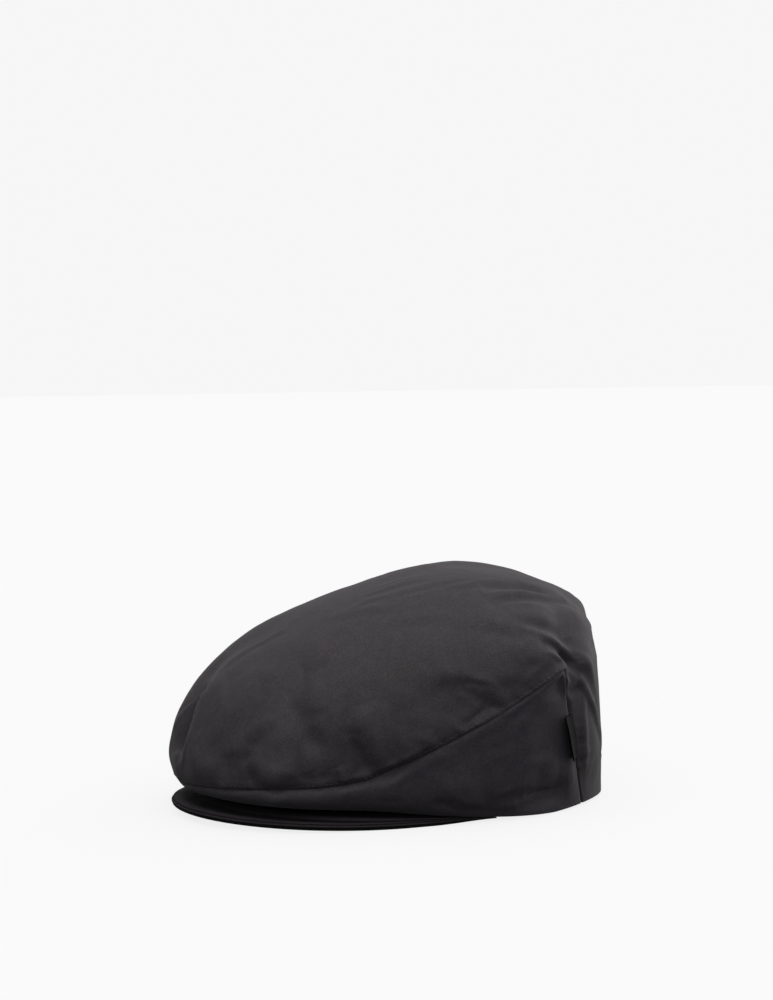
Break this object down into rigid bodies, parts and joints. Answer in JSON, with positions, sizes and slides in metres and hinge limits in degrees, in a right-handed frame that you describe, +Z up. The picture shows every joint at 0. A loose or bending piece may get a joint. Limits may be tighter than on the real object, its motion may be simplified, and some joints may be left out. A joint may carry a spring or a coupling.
{
  "type": "flat cap",
  "caption": "Soft flat cap of dark waxed cotton: crown panel drawn forward over a short stiff peak, side panels, and a bare ribbon tab in a rear seam.",
  "frame": {"origin": "on the floor that the cap rests on, under the middle of its length and width", "axes": "+Z up; -Y toward the peak, the way the wearer faces; +X toward the wearer's left"},
  "size_m": [0.2001, 0.264, 0.1364],
  "materials": {
    "waxed_crown": "waxed cotton, soft sheen",
    "waxed_side": "waxed cotton, soft sheen",
    "waxed_peak": "waxed cotton over a stiff board",
    "ribbon": "woven ribbon, matt"
  },
  "bodies": {
    "root": {"crown_panel": "waxed_crown", "side_panel_left": "waxed_side", "side_panel_right": "waxed_side", "peak": "waxed_peak", "seam_tab": "ribbon"}
  },
  "joints": []
}
